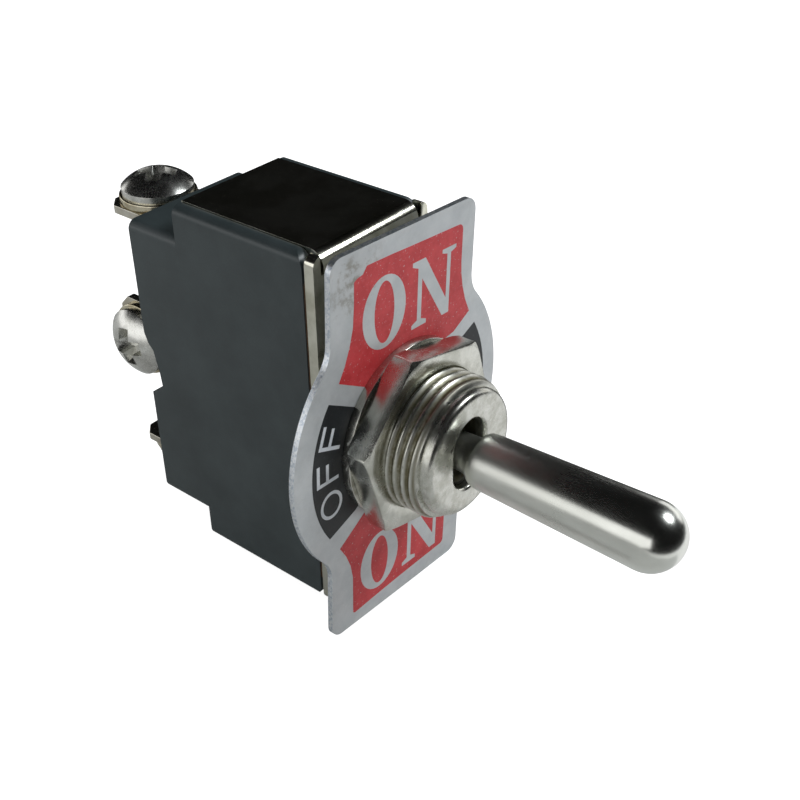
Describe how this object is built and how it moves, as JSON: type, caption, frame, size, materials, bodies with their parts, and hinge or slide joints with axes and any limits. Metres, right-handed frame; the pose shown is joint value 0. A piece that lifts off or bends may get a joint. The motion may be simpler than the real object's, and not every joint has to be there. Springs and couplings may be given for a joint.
{
  "type": "toggle_switch",
  "caption": "Panel toggle switch with a bat lever, screw terminals, threaded bushing with hex nuts and lock washer, and an ON/OFF indicator plate",
  "frame": {"origin": "where the bushing's axis meets the front face of the mounting frame", "axes": "+Z towards the upper ON, -Y along the bushing and lever, +X across the housing's short sides"},
  "size_m": [0.0252, 0.0558, 0.035],
  "materials": {
    "phenolic": "satin moulded phenolic, dark blue-grey",
    "plated_steel": "bright plated steel, lightly scratched",
    "insulator": "brown insulating sheet",
    "plated_brass": "nickel plated brass, worn on the thread crests",
    "lever_plating": "bright nickel plate",
    "spring_steel": "drawn spring wire",
    "nylon": "natural nylon",
    "bare_brass": "formed brass strip",
    "contact_silver": "silver contact rivets",
    "terminal_brass": "nickel plated brass strip, yellowed",
    "clamp_brass": "yellow-grey plated clamp washers",
    "screw_steel": "bright plated screws",
    "nut_plating": "bright plated hardware",
    "printed_aluminium": "pale aluminium printed in red, black and white"
  },
  "bodies": {
    "switch_body": {"housing": "phenolic", "mounting_frame": "plated_steel", "insulating_sheet": "insulator", "threaded_bushing": "plated_brass", "lever_pin": "plated_steel", "fixed_contact_upper": "contact_silver", "fixed_contact_lower": "contact_silver", "upper_terminal": "terminal_brass", "middle_terminal": "terminal_brass", "lower_terminal": "terminal_brass", "upper_washer": "clamp_brass", "middle_washer": "clamp_brass", "lower_washer": "clamp_brass", "upper_screw": "screw_steel", "middle_screw": "screw_steel", "lower_screw": "screw_steel", "rear_nut": "nut_plating", "indicator_plate": "printed_aluminium", "lock_washer": "nut_plating", "front_nut": "nut_plating"},
    "lever_body": {"toggle_lever": "lever_plating", "plunger_spring": "spring_steel"},
    "plunger_body": {"plunger": "nylon"},
    "rocker_body": {"rocker": "bare_brass", "rocker_button_upper": "contact_silver", "rocker_button_lower": "contact_silver"}
  },
  "joints": [
    {"name": "lever_tilt", "type": "hinge", "parent": "switch_body", "child": "lever_body", "pos_m": [0, -0.0036, 0], "axis": [1, 0, 0], "range_deg": [-12.5, 12.5]},
    {"name": "plunger_slide", "type": "slide", "parent": "lever_body", "child": "plunger_body", "axis": [0, 1, 0], "range_m": [-0.001, 0], "stiffness_N_per_m": 1000, "springref_m": 0.001, "deforming": ["plunger_spring"]},
    {"name": "rocker_tilt", "type": "hinge", "parent": "switch_body", "child": "rocker_body", "pos_m": [0, 0.01395, 0], "axis": [1, 0, 0], "range_deg": [-9, 9]}
  ],
  "couplings": [
    {"joint": "rocker_tilt", "follows": "lever_tilt", "ratio": -0.72}
  ]
}
